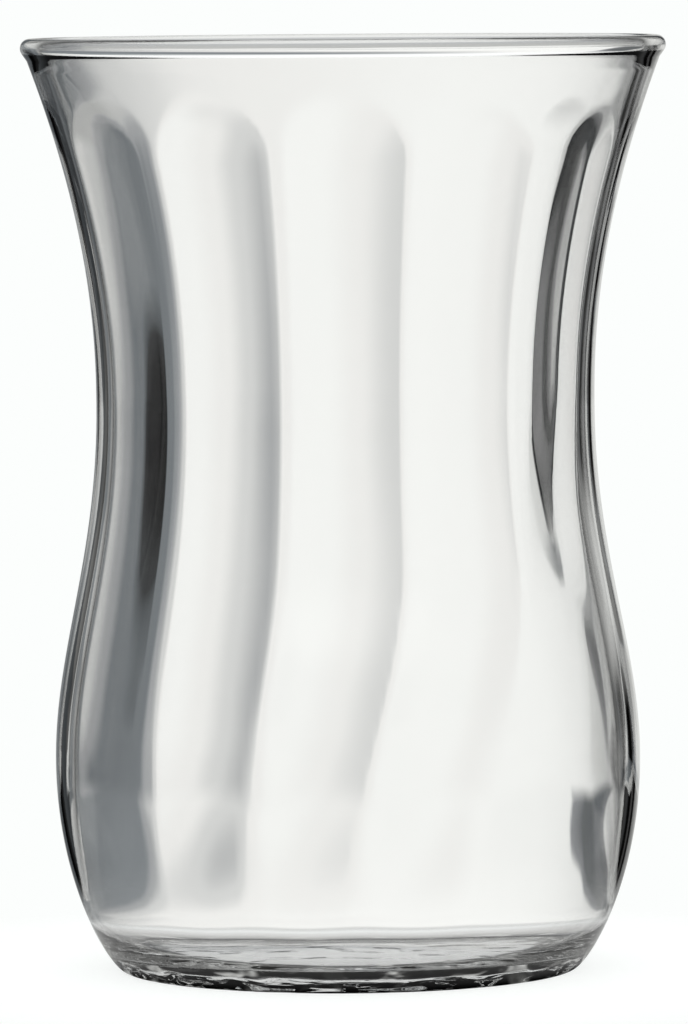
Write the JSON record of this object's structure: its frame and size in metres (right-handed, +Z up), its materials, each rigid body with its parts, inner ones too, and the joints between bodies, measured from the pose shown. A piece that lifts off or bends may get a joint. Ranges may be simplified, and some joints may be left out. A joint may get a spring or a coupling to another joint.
{
  "type": "turkish tea glass",
  "caption": "Clear tulip-shaped Turkish tea glass with a flared mouth, a narrow waist, a round belly and soft optic ribs inside; it holds hot tea and stands on a flat foot.",
  "frame": {"origin": "middle of the foot, on the surface that the glass stands on", "axes": "+Z up along the glass's axis; -Y towards the side that the picture shows"},
  "size_m": [0.058, 0.058, 0.084],
  "materials": {
    "clear_glass": "clear, smooth, fire-polished"
  },
  "bodies": {
    "root": {"glass": "clear_glass"}
  },
  "joints": []
}
